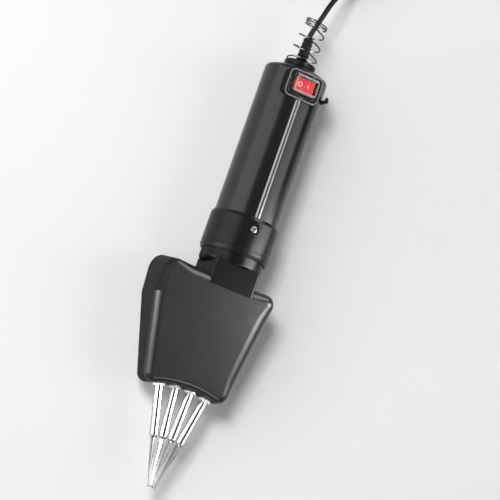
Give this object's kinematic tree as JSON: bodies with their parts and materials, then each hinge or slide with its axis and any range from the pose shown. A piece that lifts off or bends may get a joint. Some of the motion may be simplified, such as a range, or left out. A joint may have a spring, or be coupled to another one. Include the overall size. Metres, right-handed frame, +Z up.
{
  "type": "poultry plucker",
  "caption": "Hand-held electric feather plucker: a motor barrel with rocker switch drives chromed tapered rods that fan out of a wedge-shaped gear head and turn against each other.",
  "frame": {"origin": "middle of the tool's outline, on the floor under it, with the tool lying on its back", "axes": "+X to the right seen from the switch side, +Y along the motor axis to the tail, +Z up through the switch"},
  "size_m": [0.095, 0.4769, 0.0599],
  "materials": {
    "head_plastic": "satin moulded ABS, dark grey-black",
    "barrel_plastic": "glossy black moulded plastic",
    "chrome": "bright chrome plate",
    "steel": "ground steel",
    "bronze": "sintered bronze",
    "copper": "copper",
    "aluminium": "machined",
    "ferrite": "dark ferrite and carbon",
    "clear_boot": "clear soft PVC",
    "red_plastic": "glossy red",
    "black_rubber": "soft black PVC"
  },
  "bodies": {
    "housing": {"head_shell": "head_plastic", "head_back_cover": "head_plastic", "cover_screws": "steel", "bearing_plate": "aluminium", "drive_plate": "aluminium", "plate_screws": "steel", "spindle_bush_1": "chrome", "spindle_bush_2": "chrome", "spindle_bush_3": "chrome", "spindle_bush_4": "chrome", "rear_bushes": "bronze", "drive_bush": "bronze", "pinion_bearing": "steel", "neck_bearing": "steel", "collar": "barrel_plastic", "collar_screw": "steel", "barrel": "barrel_plastic", "rear_cap": "barrel_plastic", "motor_mount": "aluminium", "motor_screws": "steel", "motor_can": "steel", "motor_magnets": "ferrite", "motor_end_bell": "barrel_plastic", "motor_bearings": "steel", "brushes": "ferrite", "switch_box": "barrel_plastic", "switch_bezel": "barrel_plastic", "switch_body": "barrel_plastic", "switch_boot": "clear_boot", "switch_terminals": "bronze", "cord_gland": "barrel_plastic", "strain_relief": "black_rubber", "tail_spring": "steel", "cord": "black_rubber", "cord_coil": "black_rubber", "coil_tie": "barrel_plastic", "plug_body": "black_rubber", "plug_sleeve": "steel"},
    "rotor": {"rotor_shaft": "steel", "armature_core": "steel", "armature_windings": "copper", "commutator": "copper", "coupling_sleeve": "steel", "pinion_shaft": "steel", "pinion": "steel"},
    "rod_1": {"spindle_1": "chrome", "spindle_gear_1": "steel"},
    "rod_2": {"spindle_2": "chrome", "spindle_gear_2": "steel", "drive_gear": "steel"},
    "rod_3": {"spindle_3": "chrome", "spindle_gear_3": "steel"},
    "rod_4": {"spindle_4": "chrome", "spindle_gear_4": "steel"},
    "rocker": {"rocker": "red_plastic"}
  },
  "joints": [
    {"name": "rotor_spin", "type": "hinge", "parent": "housing", "child": "rotor", "pos_m": [0.00781, -0.20185, 0.027], "axis": [0, 1, 0], "continuous": true},
    {"name": "rod_1_spin", "type": "hinge", "parent": "housing", "child": "rod_1", "pos_m": [0.00781, -0.20185, 0.027], "axis": [-0.2411, 0.9705, 0], "continuous": true},
    {"name": "rod_2_spin", "type": "hinge", "parent": "housing", "child": "rod_2", "pos_m": [0.00781, -0.20185, 0.027], "axis": [-0.0985, 0.9951, 0], "continuous": true},
    {"name": "rod_3_spin", "type": "hinge", "parent": "housing", "child": "rod_3", "pos_m": [0.00781, -0.20185, 0.027], "axis": [0.0462, 0.9989, 0], "continuous": true},
    {"name": "rod_4_spin", "type": "hinge", "parent": "housing", "child": "rod_4", "pos_m": [0.00781, -0.20185, 0.027], "axis": [0.19, 0.9818, 0], "continuous": true},
    {"name": "rocker_tip", "type": "hinge", "parent": "housing", "child": "rocker", "pos_m": [0.00781, 0.13415, 0.0508], "axis": [0, 1, 0], "range_deg": [0, 22]}
  ],
  "couplings": [
    {"joint": "rod_1_spin", "follows": "rotor_spin", "ratio": 0.44},
    {"joint": "rod_2_spin", "follows": "rotor_spin", "ratio": -0.44},
    {"joint": "rod_3_spin", "follows": "rotor_spin", "ratio": 0.44},
    {"joint": "rod_4_spin", "follows": "rotor_spin", "ratio": -0.44}
  ]
}
